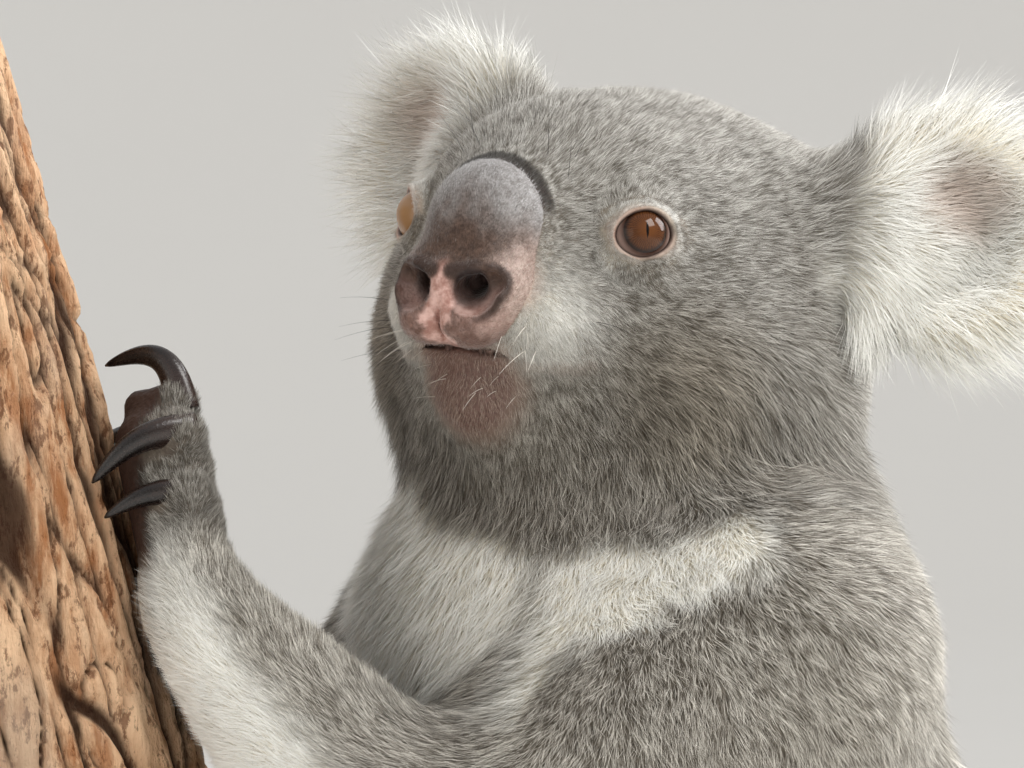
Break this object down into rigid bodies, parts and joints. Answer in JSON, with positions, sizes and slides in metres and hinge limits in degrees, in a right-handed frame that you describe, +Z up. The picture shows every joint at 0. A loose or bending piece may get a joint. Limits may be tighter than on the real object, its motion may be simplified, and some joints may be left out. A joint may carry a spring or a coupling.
{
  "type": "koala museum model",
  "caption": "Life-size still koala in grey fur, sitting on a flat display base with its hands round a short cut length of tree trunk.",
  "frame": {"origin": "middle of the underside of the flat display base", "axes": "+Z up, the koala's body faces -Y, its left side is +X"},
  "size_m": [0.36, 0.48, 0.508],
  "materials": {
    "coat": "dense grey fur, paler on the chest and in the ears",
    "nose": "bare dark brown skin, pink between the nostrils",
    "eye": "glossy brown eye with an upright slit pupil",
    "claw": "polished dark horn",
    "perch_bark": "rough fissured bark with pale cut ends",
    "stand_board": "plain pale satin board",
    "stand_steel": "brushed"
  },
  "bodies": {
    "root": {"claw_foot_left_toe2": "claw", "claw_foot_left_toe4": "claw", "claw_foot_left_toe5": "claw", "claw_foot_right_toe2": "claw", "claw_foot_right_toe4": "claw", "claw_foot_right_toe5": "claw", "claw_hand_left_digit1": "claw", "claw_hand_left_digit2": "claw", "claw_hand_left_digit3": "claw", "claw_hand_left_digit4": "claw", "claw_hand_left_digit5": "claw", "claw_hand_right_digit1": "claw", "claw_hand_right_digit2": "claw", "claw_hand_right_digit3": "claw", "claw_hand_right_digit4": "claw", "claw_hand_right_digit5": "claw", "ear_left": "coat", "ear_right": "coat", "eye_left": "eye", "eye_right": "eye", "foot_left": "coat", "foot_right": "coat", "forearm_left": "coat", "forearm_right": "coat", "hand_left": "coat", "hand_right": "coat", "head": "coat", "neck": "coat", "nose": "nose", "perch_trunk": "perch_bark", "shank_left": "coat", "shank_right": "coat", "stand_base": "stand_board", "stand_rod": "stand_steel", "thigh_left": "coat", "thigh_right": "coat", "torso": "coat", "upper_arm_left": "coat", "upper_arm_right": "coat"}
  },
  "joints": []
}
